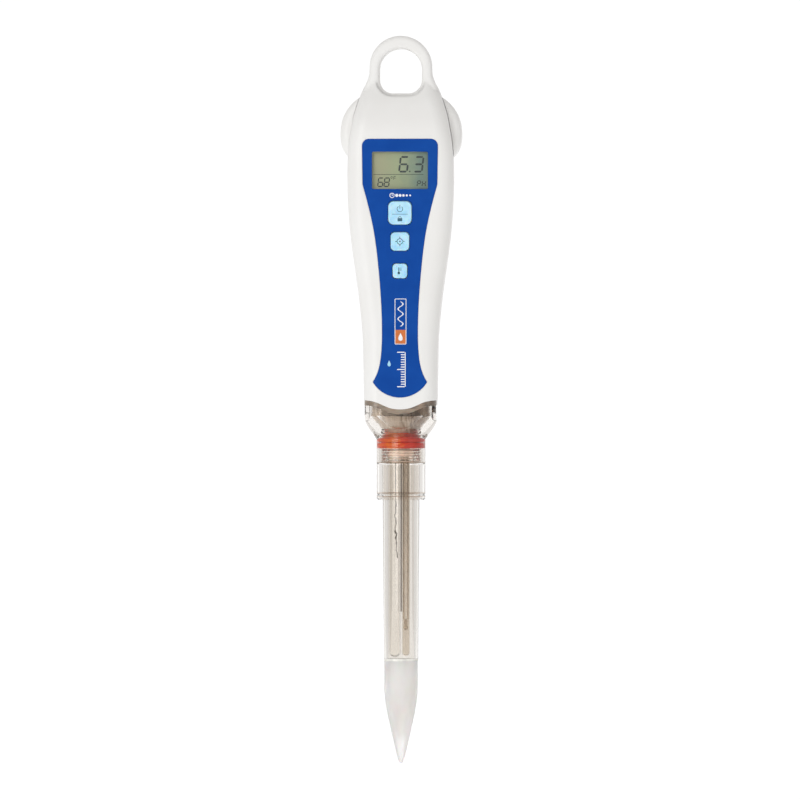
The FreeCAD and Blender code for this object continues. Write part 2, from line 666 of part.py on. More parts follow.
# ---------------------------------------------------------------- electronics
def make_board():
    low, high = BOARD_HALF_LOW, BOARD_HALF_HIGH
    corners = [(-low, BOARD_BOTTOM_Z), (low, BOARD_BOTTOM_Z), (low, 158.0), (high, 184.0),
               (high, BOARD_TOP_Z), (-high, BOARD_TOP_Z), (-high, 184.0), (-low, 158.0)]
    points = flat_points(corners)
    edges = [line(a, b) for a, b in zip(points, points[1:] + points[:1])]
    board = prism(edges, BOARD_FRONT_Y, BOARD_FRONT_Y + BOARD_THICKNESS)
    for x, z in BOARD_SCREWS:
        board = board.cut(Part.makeCylinder(1.1, 4.0, at(x, BOARD_FRONT_Y - 1, z), at(0, 1, 0)))
    return board


def make_switches():
    """One low switch under each key: a square body with a round plunger."""
    solids = []
    for _, z, width in KEYS:
        half = min(3.0, width / 2)
        body = box(-half, half, BOARD_FRONT_Y - 1.2, BOARD_FRONT_Y, z - half, z + half)
        plunger = Part.makeCylinder(1.4, 0.5, at(0, BOARD_FRONT_Y - 1.2, z), at(0, -1, 0))
        solids.append(body.fuse(plunger))
    return group(solids)


def make_chips():
    """The meter chip, the amplifier, and a row of small parts on the lower board."""
    front = BOARD_FRONT_Y
    meter_chip = box(-3.5, 3.5, front - 1.2, front, 150.0, 157.0)
    amplifier = box(-5.0, -1.0, front - 1.2, front, 140.5, 143.5)
    solids = [meter_chip, amplifier]
    row_z = 163.4
    for index in range(5):
        x = -6.0 + 3.0 * index
        solids.append(box(x - 0.6, x + 0.6, front - 0.8, front, row_z - 0.4, row_z + 0.4))
    return group(solids)


def make_board_screws():
    solids = []
    rear = BOARD_FRONT_Y + BOARD_THICKNESS
    for x, z in BOARD_SCREWS:
        head = Part.makeCylinder(1.9, 0.35, at(x, rear, z), at(0, 1, 0))
        shank = Part.makeCylinder(0.85, BOARD_THICKNESS + 3.0, at(x, rear, z), at(0, -1, 0))
        solids.append(head.fuse(shank))
    return group(solids)


def make_bezel():
    """Frame that holds the display between the case wall and the circuit board."""
    width = LCD_SIZE[0] + 0.2
    height = LCD_SIZE[1] + 0.2
    frame_width = LCD_SIZE[0] + 2 * BEZEL_WALL
    frame_height = LCD_SIZE[1] + 2 * BEZEL_WALL
    outer = rounded_block(frame_width, frame_height, 1.0, LCD_FRONT_Y, BOARD_FRONT_Y, WINDOW_Z)
    inner = rounded_block(width, height, 0.2, LCD_FRONT_Y - 1, BOARD_FRONT_Y + 1, WINDOW_Z)
    return outer.cut(inner)


def make_contact_strips():
    width, height = LCD_SIZE
    solids = []
    for side in (-1, 1):
        z = WINDOW_Z + side * (height / 2 - 1.1)
        solids.append(box(-width / 2 + 1, width / 2 - 1, LCD_FRONT_Y + LCD_THICKNESS, BOARD_FRONT_Y,
                          z - 0.9, z + 0.9))
    return group(solids)


# ---------------------------------------------------------------- battery
def make_cell():
    radius = CELL_DIAMETER / 2
    can = upright(radius, CELL_BOTTOM_Z, CELL_BOTTOM_Z + CELL_LENGTH - 1.0, 0, CELL_Y)
    rims = [edge for edge in can.Edges if edge.Closed and edge.BoundBox.ZLength < 1e-6]
    can = can.makeFillet(0.4, rims)
    nub = upright(1.9, CELL_BOTTOM_Z + CELL_LENGTH - 1.0, CELL_BOTTOM_Z + CELL_LENGTH, 0, CELL_Y)
    return can.fuse(nub)


def make_cradle():
    half = CELL_DIAMETER / 2 + 1.3
    z0 = CELL_BOTTOM_Z - SPRING_LENGTH - 1.0
    z1 = CELL_BOTTOM_Z + CELL_LENGTH + 1.3
    cradle = box(-half, half, -3.0, 7.0, z0, z1)
    bore_z0 = CELL_BOTTOM_Z - SPRING_LENGTH
    bore_z1 = CELL_BOTTOM_Z + CELL_LENGTH + 0.5
    radius = CELL_DIAMETER / 2 + 0.25
    bore = upright(radius, bore_z0, bore_z1, 0, CELL_Y)
    mouth = box(-radius, radius, CELL_Y, 8.0, bore_z0, bore_z1)
    return cradle.cut(bore).cut(mouth)


def make_battery_contact():
    half = 3.5
    cell_top = CELL_BOTTOM_Z + CELL_LENGTH
    return box(-half, half, CELL_Y - half, CELL_Y + half, cell_top, cell_top + 0.4)


def make_battery_spring():
    """Conical spring drawn as stacked rings joined by a short upright."""
    wire = 0.3
    solids = []
    for turn in range(4):
        ring = Part.makeTorus(3.4 - 0.55 * turn, wire)
        ring.translate(at(0, CELL_Y, CELL_BOTTOM_Z - SPRING_LENGTH + wire + 0.9 * turn))
        solids.append(ring)
    post_foot = at(3.4, CELL_Y, CELL_BOTTOM_Z - SPRING_LENGTH + wire)
    post_head = at(3.4 - 0.55 * 3, CELL_Y, CELL_BOTTOM_Z - SPRING_LENGTH + wire + 2.7)
    return solids[0].multiFuse(solids[1:] + [Part.makeCylinder(wire, (post_head - post_foot).Length,
                                                              post_foot, post_head - post_foot)])


# ---------------------------------------------------------------- label, window and keys
def make_label(outer):
    label = label_layer(outer, 0.0, LABEL_THICKNESS)
    label = label.cut(rounded_block(*WINDOW_VIEW, 0.5, FACE_Y - 1.0, FACE_Y + 5.0, WINDOW_Z))
    for hole in key_holes(KEY_GAP, FACE_Y - 1.0, FACE_Y + 5.0):
        label = label.cut(hole)
    return label


def make_window():
    """Clear pane under the label, with a small gap all round."""
    width, height = WINDOW_SIZE
    front = FACE_Y + LABEL_THICKNESS + 0.03
    return rounded_block(width - 0.1, height - 0.1, 0.95, front, front + WINDOW_THICKNESS, WINDOW_Z)


def make_lcd():
    return rounded_block(*LCD_SIZE, 0.3, LCD_FRONT_Y, LCD_FRONT_Y + LCD_THICKNESS, WINDOW_Z)


def make_key(z, width):
    """A key: rounded cap, flange behind the case wall and a short stem over its switch."""
    flange_front = FACE_Y + CASE_WALL + 0.3
    flange_rear = flange_front + KEY_FLANGE_THICKNESS
    corner = KEY_CORNER * width
    cap = rounded_block(width, width, corner, FACE_Y - KEY_PROUD, flange_front, z)
    cap = cap.makeFillet(KEY_EDGE, edges_at_y(cap, FACE_Y - KEY_PROUD))
    side = min(width + 2 * KEY_FLANGE, KEY_FLANGE_MAX)
    flange = rounded_block(side, side, corner, flange_front, flange_rear, z)
    stem_end = BOARD_FRONT_Y - SWITCH_HEIGHT - KEY_TRAVEL - 0.1
    stem = Part.makeCylinder(1.2, stem_end - flange_rear, at(0, flange_rear, z), at(0, 1, 0))
    return cap.fuse(flange).fuse(stem)


# ---------------------------------------------------------------- write the parts
def save_case():
    outer, front, rear = make_case()
    case_seal = make_case_seal()
    save("front_case", finish_front(front, outer).cut(case_seal))
    save("rear_case", finish_rear(rear).cut(case_seal))
    save("case_seal", case_seal)
    save("battery_cover", make_battery_cover())
    save("battery_cover_seal", make_battery_cover_seal())
    save("face_label", make_label(outer))


def save_electronics():
    save("lcd_window", make_window())
    save("lcd_glass", make_lcd())
    save("lcd_bezel", make_bezel())
    save("contact_strips", make_contact_strips())
    for name, z, width in KEYS:
        save(name, make_key(z, width))
    save("circuit_board", make_board())
    save("tact_switches", make_switches())
    save("circuit_chips", make_chips())
    save("board_screws", make_board_screws())
    save("battery_cell", make_cell())
    save("battery_cradle", make_cradle())
    save("battery_contact", make_battery_contact())
    save("battery_spring", make_battery_spring())


def save_probe():
    save("case_gasket", make_case_gasket())
    save("probe_neck", make_neck())
    save("probe_collar", make_collar())
    for name, z, thickness in O_RINGS:
        save(name, make_o_ring(z, thickness))
    save("probe_barrel", make_barrel())
    save("junction_ring", tube(TIP_RADIUS + 0.12, 4.6, BARREL_BOTTOM_Z - JUNCTION_HEIGHT, BARREL_BOTTOM_Z))
    save("probe_tip", make_tip())
    save("glass_stem", make_closed_tube(STEM_X, STEM_RADIUS, STEM_WALL, STEM_FOOT_Z, COLLAR_TOP_Z))
    save("sensor_tube", make_closed_tube(SENSOR_X, SENSOR_RADIUS, SENSOR_WALL, SENSOR_FOOT_Z, COLLAR_TOP_Z))
    save("silver_wire", bent_wire([at(*point) for point in SILVER_WIRE], 0.28))
    save("temperature_sensor", make_temperature_sensor())
    save("sensor_leads", make_sensor_leads())
    save("reference_wire", make_reference_wire())
    save("stem_seal", make_stem_seal())
    leads = make_probe_leads()
    save("potting_compound", chamber_form(0.1, POTTING_TOP_Z).cut(leads))
    save("probe_leads", leads)


def main():
    os.makedirs("parts", exist_ok=True)
    save_case()
    save_electronics()
    save_probe()


main()
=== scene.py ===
import bmesh
import bpy
import json
import math
import random
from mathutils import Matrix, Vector


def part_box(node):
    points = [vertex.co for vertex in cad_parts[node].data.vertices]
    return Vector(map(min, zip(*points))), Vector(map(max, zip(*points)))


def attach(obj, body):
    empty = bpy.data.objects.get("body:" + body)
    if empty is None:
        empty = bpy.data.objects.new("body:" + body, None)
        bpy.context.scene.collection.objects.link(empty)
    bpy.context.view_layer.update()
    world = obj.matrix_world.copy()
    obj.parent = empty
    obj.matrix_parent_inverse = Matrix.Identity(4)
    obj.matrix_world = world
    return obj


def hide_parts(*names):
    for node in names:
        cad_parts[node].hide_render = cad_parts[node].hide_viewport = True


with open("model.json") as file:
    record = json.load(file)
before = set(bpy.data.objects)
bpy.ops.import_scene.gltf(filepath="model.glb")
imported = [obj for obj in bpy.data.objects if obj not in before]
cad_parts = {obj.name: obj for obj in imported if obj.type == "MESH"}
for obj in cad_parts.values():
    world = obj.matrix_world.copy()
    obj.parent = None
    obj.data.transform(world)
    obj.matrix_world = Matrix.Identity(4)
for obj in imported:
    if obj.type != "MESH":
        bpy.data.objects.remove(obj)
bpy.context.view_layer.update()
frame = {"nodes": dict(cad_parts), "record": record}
nodes = frame["nodes"]

MM = 0.001
PRINT = 0.02 * MM                                   # thickness of printed marks
RAISE = 0.01 * MM                                   # how far a mark stands off its surface
LABEL_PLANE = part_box("face_label")[0].y - RAISE     # back of the marks on the blue label
LCD_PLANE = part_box("lcd_glass")[0].y - RAISE        # back of the display's segments
EVEN = (1.0, 1.0, 1.0)                              # noise with no stretch
WHITE = (1.0, 1.0, 1.0)


# ---------------------------------------------------------------- shader nodes
def shader_inputs(tree):
    return tree.nodes["Principled BSDF"].inputs


def coordinate(tree, axis, space="Object"):
    """One coordinate, by default in object space, so that a pattern stays put on its piece."""
    coordinates = tree.nodes.new("ShaderNodeTexCoord")
    split = tree.nodes.new("ShaderNodeSeparateXYZ")
    tree.links.new(coordinates.outputs[space], split.inputs["Vector"])
    return split.outputs[axis]


def object_noise(tree, scale, detail=3.0, stretch=EVEN):
    """Noise in object space."""
    coordinates = tree.nodes.new("ShaderNodeTexCoord")
    mapping = tree.nodes.new("ShaderNodeMapping")
    mapping.inputs["Scale"].default_value = stretch
    noise = tree.nodes.new("ShaderNodeTexNoise")
    noise.inputs["Scale"].default_value = scale
    noise.inputs["Detail"].default_value = detail
    tree.links.new(coordinates.outputs["Object"], mapping.inputs["Vector"])
    tree.links.new(mapping.outputs["Vector"], noise.inputs["Vector"])
    return noise.outputs["Fac"]


def map_range(tree, value, source=(0.0, 1.0), target=(0.0, 1.0)):
    node = tree.nodes.new("ShaderNodeMapRange")
    for name, number in zip(("From Min", "From Max", "To Min", "To Max"), (*source, *target)):
        node.inputs[name].default_value = number
    tree.links.new(value, node.inputs["Value"])
    return node.outputs["Result"]


def add_noise(tree, value, noise, weight):
    """A value plus the noise times its weight."""
    node = tree.nodes.new("ShaderNodeMath")
    node.operation = "MULTIPLY_ADD"
    node.inputs[1].default_value = weight
    tree.links.new(noise, node.inputs[0])
    tree.links.new(value, node.inputs[2])
    return node.outputs["Value"]


def color_ramp(tree, value, stops):
    """The colour of a value, from stops of (position, colour) in rising order."""
    ramp = tree.nodes.new("ShaderNodeValToRGB")
    elements = ramp.color_ramp.elements
    for element, (position, color) in zip(elements, (stops[0], stops[-1])):
        element.position = position
        element.color = (*color, 1.0)
    for position, color in stops[1:-1]:
        elements.new(position).color = (*color, 1.0)
    tree.links.new(value, ramp.inputs["Fac"])
    return ramp.outputs["Color"]


MIX_SOCKETS = {"VECTOR": (4, 5, 1), "RGBA": (6, 7, 2)}      # a Mix node's two inputs and its output


def add_mix(tree, kind, first, second, blend_type="MIX"):
    """Mixes two sockets. Returns the mix's factor and its result."""
    mix = tree.nodes.new("ShaderNodeMix")
    mix.data_type = kind
    mix.blend_type = blend_type
    first_input, second_input, result = MIX_SOCKETS[kind]
    tree.links.new(first, mix.inputs[first_input])
    tree.links.new(second, mix.inputs[second_input])
    return mix.inputs[0], mix.outputs[result]


# ---------------------------------------------------------------- material helpers
def new_material(name, color, roughness, **inputs):
    """A Principled material. Extra inputs are written with underscores for spaces."""
    material = bpy.data.materials.new(name)
    material.use_nodes = True
    sockets = shader_inputs(material.node_tree)
    sockets["Base Color"].default_value = (*color, 1.0)
    sockets["Roughness"].default_value = roughness
    for key, value in inputs.items():
        sockets[key.replace("_", " ")].default_value = value
    return material


def scaled(color, factor):
    """A colour made darker or lighter."""
    return tuple(min(1.0, factor * value) for value in color)


def vary_color(material, first, second, scale, low=0.35, high=0.65, stretch=EVEN):
    """Base colour that drifts between two colours."""
    tree = material.node_tree
    color = color_ramp(tree, object_noise(tree, scale, stretch=stretch), ((low, first), (high, second)))
    tree.links.new(color, shader_inputs(tree)["Base Color"])


def vary_roughness(material, low, high, scale):
    tree = material.node_tree
    roughness = map_range(tree, object_noise(tree, scale), target=(low, high))
    tree.links.new(roughness, shader_inputs(tree)["Roughness"])


def add_bump(material, scale, distance, strength, stretch=EVEN):
    """Fine unevenness of the surface."""
    tree = material.node_tree
    bump = tree.nodes.new("ShaderNodeBump")
    bump.inputs["Strength"].default_value = strength
    bump.inputs["Distance"].default_value = distance
    tree.links.new(object_noise(tree, scale, 2.0, stretch), bump.inputs["Height"])
    tree.links.new(bump.outputs["Normal"], shader_inputs(tree)["Normal"])


def soften_edges(material, radius, low_z, high_z):
    """Rounds the shading of creases, under the bump, from nothing at low_z to all of it at high_z."""
    tree = material.node_tree
    bevel = tree.nodes.new("ShaderNodeBevel")
    bevel.inputs["Radius"].default_value = radius
    surface = tree.nodes.new("ShaderNodeNewGeometry")
    factor, normal = add_mix(tree, "VECTOR", surface.outputs["Normal"], bevel.outputs["Normal"])
    tree.links.new(map_range(tree, coordinate(tree, "Z"), (low_z, high_z)), factor)
    bump = shader_inputs(tree)["Normal"].links[0].from_node
    tree.links.new(normal, bump.inputs["Normal"])


def color_across(material, stops, reach, mottle, scale, stretch=EVEN):
    """Base colour that changes along X from -reach to reach, broken up by noise."""
    tree = material.node_tree
    across = map_range(tree, coordinate(tree, "X"), (-reach, reach), (-mottle / 2, 1.0 - mottle / 2))
    broken = add_noise(tree, across, object_noise(tree, scale, 4.0, stretch), mottle)
    tree.links.new(color_ramp(tree, broken, stops), shader_inputs(tree)["Base Color"])


LINE_WAVER = 0.5 * MM        # how far a level line wanders up and down


def add_lines(material, tint, dark, low_z, high_z, lines, low_tint=None):
    """A tint from low_z to high_z with thin level lines, each (height, half its width), lowest first.

    It multiplies the base colour's pattern, where there is one.
    """
    tree = material.node_tree
    height = add_noise(tree, coordinate(tree, "Z"), object_noise(tree, 160.0), LINE_WAVER)
    share = map_range(tree, height, (low_z + LINE_WAVER / 2, high_z + LINE_WAVER / 2))
    span = high_z - low_z
    stops = [(0.0, low_tint or tint)]
    for middle, half in lines:
        place, spread = (middle - low_z) / span, half / span
        stops += [(place - spread, tint), (place, dark), (place + spread, tint)]
    color = color_ramp(tree, share, stops + [(1.0, tint)])
    target = shader_inputs(tree)["Base Color"]
    if target.is_linked:
        factor, color = add_mix(tree, "RGBA", target.links[0].from_socket, color, "MULTIPLY")
        factor.default_value = 1.0
    tree.links.new(color, target)


# ---------------------------------------------------------------- materials, one per slot
SOFT_DEPTH = 1.0 * MM        # how far light goes into silicone and soft mouldings
RIPPLE = 0.04 * MM           # unevenness of a clear moulded wall


def case_white():
    material = new_material("case_white", (0.84, 0.83, 0.81), 0.34, Specular_IOR_Level=0.4)
    vary_color(material, (0.825, 0.815, 0.795), (0.85, 0.845, 0.83), 45.0)
    vary_roughness(material, 0.30, 0.42, 700.0)
    add_bump(material, 2600.0, 0.02 * MM, 0.35)
    return material


def loop_white():
    """The case's white on the front half, with the shading softened where the loop grows out of the case."""
    material = case_white()
    material.name = "loop_white"
    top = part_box("front_case")[1].z
    shoulder, root = top - 24.0 * MM, top - 20.5 * MM
    soften_edges(material, 1.5 * MM, shoulder, root)
    return material


def label_blue():
    material = new_material("label_blue", (0.002, 0.062, 0.335), 0.4, Specular_IOR_Level=0.1)
    vary_color(material, (0.0015, 0.058, 0.32), (0.003, 0.067, 0.35), 160.0)
    add_bump(material, 3500.0, 0.01 * MM, 0.3)
    return material


def key_light_blue():
    material = new_material("key_light_blue", (0.46, 0.77, 0.95), 0.42, Subsurface_Weight=0.25,
                            Subsurface_Scale=SOFT_DEPTH, Specular_IOR_Level=0.35)
    vary_color(material, (0.36, 0.69, 0.92), (0.56, 0.84, 0.98), 420.0, low=0.3, high=0.7)
    add_bump(material, 900.0, 0.06 * MM, 0.35)
    return material


def window_clear():
    material = new_material("window_clear", (0.99, 1.0, 0.98), 0.02, Transmission_Weight=1.0, IOR=1.3)
    vary_roughness(material, 0.01, 0.04, 300.0)
    return material


def display():
    """Reflective display: tan on the left, greener on the right, with a faint mottle, and darker towards its
    right edge, where painted shade stands for the bezel's shadow.
    """
    material = new_material("display", (0.46, 0.52, 0.33), 0.3, Coat_Weight=0.2, Coat_Roughness=0.05)
    # the darker last stop is partly the display's own green and partly painted shadow of the bezel on its
    # right edge
    stops = ((0.15, (0.51, 0.515, 0.33)), (0.5, (0.46, 0.52, 0.32)), (0.85, (0.235, 0.335, 0.28)))
    color_across(material, stops, 10.0 * MM, mottle=0.35, scale=260.0)
    add_bump(material, 5000.0, 0.005 * MM, 0.2)
    return material


def plain_dark(name, color, roughness):
    material = new_material(name, color, roughness)
    vary_color(material, scaled(color, 0.8), scaled(color, 1.25), 400.0)
    add_bump(material, 2500.0, 0.02 * MM, 0.4)
    return material


def board_green():
    material = new_material("board_green", (0.02, 0.16, 0.06), 0.35)
    vary_color(material, (0.012, 0.11, 0.04), (0.03, 0.20, 0.08), 700.0, stretch=(1.0, 1.0, 0.3))
    add_bump(material, 1500.0, 0.03 * MM, 0.4)
    return material


def metal(name, color, roughness, stretch=EVEN):
    material = new_material(name, color, roughness, Metallic=1.0)
    vary_color(material, scaled(color, 0.88), color, 900.0, stretch=stretch)
    vary_roughness(material, 0.8 * roughness, 1.4 * roughness, 600.0)
    return material


def cell_jacket():
    material = new_material("cell_jacket", (0.05, 0.055, 0.065), 0.3, Coat_Weight=0.5, Coat_Roughness=0.1)
    vary_color(material, (0.04, 0.045, 0.055), (0.07, 0.075, 0.085), 250.0, stretch=(1.0, 1.0, 0.1))
    add_bump(material, 1200.0, 0.01 * MM, 0.3)
    return material


def soft_rubber(name, color, roughness=0.55):
    material = new_material(name, color, roughness)
    vary_color(material, scaled(color, 0.86), scaled(color, 1.12), 500.0)
    add_bump(material, 2000.0, 0.02 * MM, 0.4)
    return material


def printed(name, color):
    material = new_material(name, color, 0.45, Specular_IOR_Level=0.3)
    vary_color(material, scaled(color, 0.94), scaled(color, 1.05), 900.0)
    add_bump(material, 4000.0, 0.01 * MM, 0.3)
    return material


def clear_plastic(name, tint, ior, **inputs):
    """Clear moulding: a faint warm tint and the slight ripple of a moulded wall."""
    material = new_material(name, tint, 0.02, Transmission_Weight=1.0, IOR=ior, **inputs)
    vary_roughness(material, 0.01, 0.06, 180.0)
    add_bump(material, 160.0, RIPPLE, 0.3, (1.0, 1.0, 0.35))
    return material


def neck_clear():
    """The neck, with a darker rim where it ends on the collar."""
    tint, dark = (0.875, 0.84, 0.80), (0.45, 0.35, 0.27)
    material = clear_plastic("neck_clear", tint, 1.2, Coat_Weight=0.35, Coat_Roughness=0.03)
    low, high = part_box("probe_neck")
    rim = (low.z + 0.05 * MM, 0.3 * MM)
    add_lines(material, tint, dark, low.z - 0.4 * MM, high.z, (rim,))
    return material


def collar_clear():
    """The collar, with the lines of its foot and, above the neck's rim, those of its thread."""
    tint, foot_dark, thread_dark = (0.985, 0.967, 0.945), (0.64, 0.53, 0.45), (0.46, 0.34, 0.27)
    material = clear_plastic("collar_clear", tint, 1.28)
    low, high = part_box("probe_collar")
    foot_lines = ((low.z + 1.1 * MM, 0.22 * MM), (low.z + 2.4 * MM, 0.28 * MM))
    add_lines(material, tint, foot_dark, low.z, high.z, foot_lines)
    rim, pitch_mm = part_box("probe_neck")[0].z, 0.95
    thread_lines = [(rim + (0.6 + pitch_mm * turn) * MM, 0.24 * MM) for turn in range(5)]
    add_lines(material, WHITE, thread_dark, low.z, high.z, thread_lines)
    return material


def sensor_glass():
    """The thermistor's tube, smokier towards its top."""
    tint, low_tint = (0.62, 0.57, 0.51), (0.87, 0.825, 0.77)
    material = clear_plastic("sensor_glass", tint, 1.08)
    low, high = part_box("sensor_tube")
    add_lines(material, tint, tint, low.z, high.z, (), low_tint)
    return material


def gasket_brown():
    """Soft translucent trim with fine lines that run round it."""
    material = new_material("gasket_brown", (0.30, 0.24, 0.19), 0.28, Subsurface_Weight=0.2,
                            Subsurface_Scale=SOFT_DEPTH, Coat_Weight=0.4, Coat_Roughness=0.1)
    stops = ((0.0, (0.22, 0.17, 0.13)), (0.3, (0.31, 0.245, 0.185)), (0.52, (0.33, 0.25, 0.18)),
             (0.8, (0.21, 0.16, 0.12)), (1.0, (0.14, 0.105, 0.08)))
    color_across(material, stops, 12.0 * MM, mottle=2.2, scale=620.0, stretch=(0.3, 0.3, 2.1))
    add_bump(material, 900.0, 0.12 * MM, 0.5, (0.3, 0.3, 2.4))
    return material


def milky_glass():
    """The spear tip, with cloudy upright streaks."""
    material = new_material("tip_translucent", (0.95, 0.93, 0.90), 0.32, Transmission_Weight=0.75,
                            IOR=1.25, Subsurface_Weight=0.4, Subsurface_Scale=4.0 * MM,
                            Coat_Weight=0.4, Coat_Roughness=0.15)
    vary_color(material, (0.905, 0.88, 0.86), (0.99, 0.98, 0.965), 230.0, low=0.38, high=0.62,
               stretch=(1.0, 1.0, 0.3))
    add_bump(material, 300.0, 0.06 * MM, 0.35)
    return material


def smoky_epoxy_painted_light_and_shade():
    """Potting seen through the neck, brown with upright streaks, with painted light on the left and painted
    shade on the right.
    """
    material = new_material("potting_brown", (0.40, 0.33, 0.265), 0.2, Coat_Weight=0.6, Coat_Roughness=0.08)
    # painted light in the pale stops on the left, painted shade in the dark stops on the right
    stops = ((0.0, (0.77, 0.67, 0.565)), (0.30, (0.60, 0.50, 0.41)), (0.42, (0.70, 0.60, 0.50)),
             (0.56, (0.56, 0.465, 0.375)), (0.70, (0.24, 0.165, 0.12)), (1.0, (0.33, 0.26, 0.20)))
    color_across(material, stops, 9.9 * MM, mottle=1.0, scale=1000.0, stretch=(1.0, 0.3, 0.08))
    add_bump(material, 700.0, 0.15 * MM, 0.5, (1.0, 0.5, 0.2))
    return material


def bung_silicone():
    """Clear silicone bung. Its faint glow stands for the light that comes through it from behind."""
    material = new_material("bung_silicone", (0.93, 0.76, 0.65), 0.4, Subsurface_Weight=0.3,
                            Subsurface_Scale=SOFT_DEPTH, Emission_Color=(0.93, 0.78, 0.67, 1.0),
                            Emission_Strength=0.6)
    stops = ((0.0, (0.98, 0.90, 0.82)), (0.50, (0.92, 0.76, 0.66)), (0.66, (0.36, 0.25, 0.19)),
             (0.80, (0.80, 0.66, 0.56)), (1.0, (0.92, 0.80, 0.70)))
    color_across(material, stops, 6.9 * MM, mottle=0.25, scale=700.0, stretch=(1.0, 0.5, 1.6))
    add_bump(material, 2000.0, 0.02 * MM, 0.4)
    return material


def enamelled_wire():
    """Enamelled leads in their glass tube, with the same faint glow as the bung, for the same reason."""
    material = new_material("wire_dark", (0.60, 0.51, 0.41), 0.5, Emission_Color=(0.60, 0.51, 0.42, 1.0),
                            Emission_Strength=0.36)
    vary_color(material, (0.50, 0.42, 0.33), (0.70, 0.61, 0.50), 400.0)
    add_bump(material, 2500.0, 0.02 * MM, 0.4)
    return material


def silicone_ring():
    """O-ring silicone: painted light makes it orange on the left, painted shade makes it deeper red on the
    right.

    Dark lines of painted shade mark the foot of the lower ring, the seam between the two, and the upper
    one's top edge.
    """
    material = new_material("ring_red", (0.85, 0.14, 0.04), 0.3, Subsurface_Weight=0.2,
                            Subsurface_Scale=SOFT_DEPTH, Coat_Weight=0.2, Coat_Roughness=0.1)
    # painted light in the orange stops on the left, painted shade in the deep red stops on the right
    stops = ((0.0, (0.96, 0.085, 0.012)), (0.36, (1.0, 0.21, 0.012)), (0.60, (0.82, 0.045, 0.01)),
             (1.0, (0.66, 0.025, 0.015)))
    color_across(material, stops, 7.0 * MM, mottle=0.7, scale=900.0, stretch=(0.8, 0.5, 1.6))
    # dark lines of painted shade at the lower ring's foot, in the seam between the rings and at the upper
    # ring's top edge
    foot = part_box("o_ring_lower")[0].z
    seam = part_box("o_ring_upper")[0].z - 0.35 * MM
    edge = seam + 1.5 * MM
    lines = ((foot + 0.35 * MM, 0.16 * MM), (seam, 0.26 * MM), (edge, 0.16 * MM))
    add_lines(material, WHITE, (0.6, 0.2, 0.2), foot - MM, seam + 4.0 * MM, lines)
    add_bump(material, 900.0, 0.12 * MM, 0.5, (0.4, 0.4, 2.0))
    return material


MATERIALS = {
    "case_white": case_white(),
    "label_blue": label_blue(),
    "key_light_blue": key_light_blue(),
    "window_clear": window_clear(),
    "display": display(),
    "bezel_black": plain_dark("bezel_black", (0.02, 0.02, 0.022), 0.5),
    "contact_rubber": soft_rubber("contact_rubber", (0.06, 0.06, 0.065)),
    "board_green": board_green(),
    "chip_black": plain_dark("chip_black", (0.015, 0.015, 0.016), 0.45),
    "switch_steel": metal("switch_steel", (0.62, 0.62, 0.62), 0.3),
    "screw_steel": metal("screw_steel", (0.55, 0.55, 0.55), 0.3),
    "cell_jacket": cell_jacket(),
    "contact_nickel": metal("contact_nickel", (0.70, 0.68, 0.63), 0.2),
    "cradle_grey": plain_dark("cradle_grey", (0.10, 0.105, 0.11), 0.5),
    "seal_grey": soft_rubber("seal_grey", (0.80, 0.80, 0.78)),
    "gasket_brown": gasket_brown(),
    "probe_clear": clear_plastic("probe_clear", (0.885, 0.862, 0.83), 1.42),
    "ring_red": silicone_ring(),
    "junction_white": soft_rubber("junction_white", (0.84, 0.82, 0.77), 0.6),
    "tip_translucent": milky_glass(),
    "glass_clear": clear_plastic("glass_clear", (0.97, 0.955, 0.93), 1.2),
    "wire_silver": metal("wire_silver", (0.30, 0.27, 0.245), 0.35, (1.0, 1.0, 0.2)),
    "wire_dark": enamelled_wire(),
    "bung_silicone": bung_silicone(),
    "potting_brown": smoky_epoxy_painted_light_and_shade(),
    "lead_insulation": plain_dark("lead_insulation", (0.34, 0.31, 0.27), 0.45),
    "segment_dark": plain_dark("segment_dark", (0.045, 0.060, 0.065), 0.35),
    "print_white": printed("print_white", (0.86, 0.88, 0.92)),
    "print_orange": printed("print_orange", (0.62, 0.17, 0.045)),
    "print_grey": printed("print_grey", (0.055, 0.14, 0.20)),
}
# nodes whose material differs from the others of their slot
VARIANTS = {
    "front_case": loop_white(),
    "probe_neck": neck_clear(),
    "probe_collar": collar_clear(),
    "sensor_tube": sensor_glass(),
}


def dress_cad_nodes():
    for part in frame["record"]["subparts"]:
        name = part["node"]
        slots = nodes[name].data.materials
        slots.clear()
        slots.append(VARIANTS.get(name, MATERIALS[part["material_slot"]]))


# ---------------------------------------------------------------- mesh helpers
def finish_piece(name, builder, body, slot):
    """Turns a bmesh into an object that rides on a body and has its slot's material."""
    mesh = bpy.data.meshes.new(name)
    bmesh.ops.recalc_face_normals(builder, faces=builder.faces)
    builder.to_mesh(mesh)
    builder.free()
    piece = bpy.data.objects.new(name, mesh)
    bpy.context.scene.collection.objects.link(piece)
    mesh.materials.append(MATERIALS[slot])
    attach(piece, body)
    return piece


def smooth_faces(mesh):
    for face in mesh.polygons:
        face.use_smooth = True


def join_rings(builder, first, second):
    count = len(first)
    for index in range(count):
        following = (index + 1) % count
        builder.faces.new((first[index], first[following], second[following], second[index]))


def add_plate(builder, outline, y_back, hole=None):
    """A thin plate facing -Y. Its outline, and its hole if it has one, are lists of (x, z)."""
    depths = (y_back - PRINT, y_back)
    front, back = [[builder.verts.new((x, y, z)) for x, z in outline] for y in depths]
    if hole is None:
        builder.faces.new(front)
        builder.faces.new(list(reversed(back)))
        join_rings(builder, front, back)
        return
    hole_front, hole_back = [[builder.verts.new((x, y, z)) for x, z in hole] for y in depths]
    for first, second in ((front, hole_front), (back, hole_back), (front, back), (hole_front, hole_back)):
        join_rings(builder, first, second)


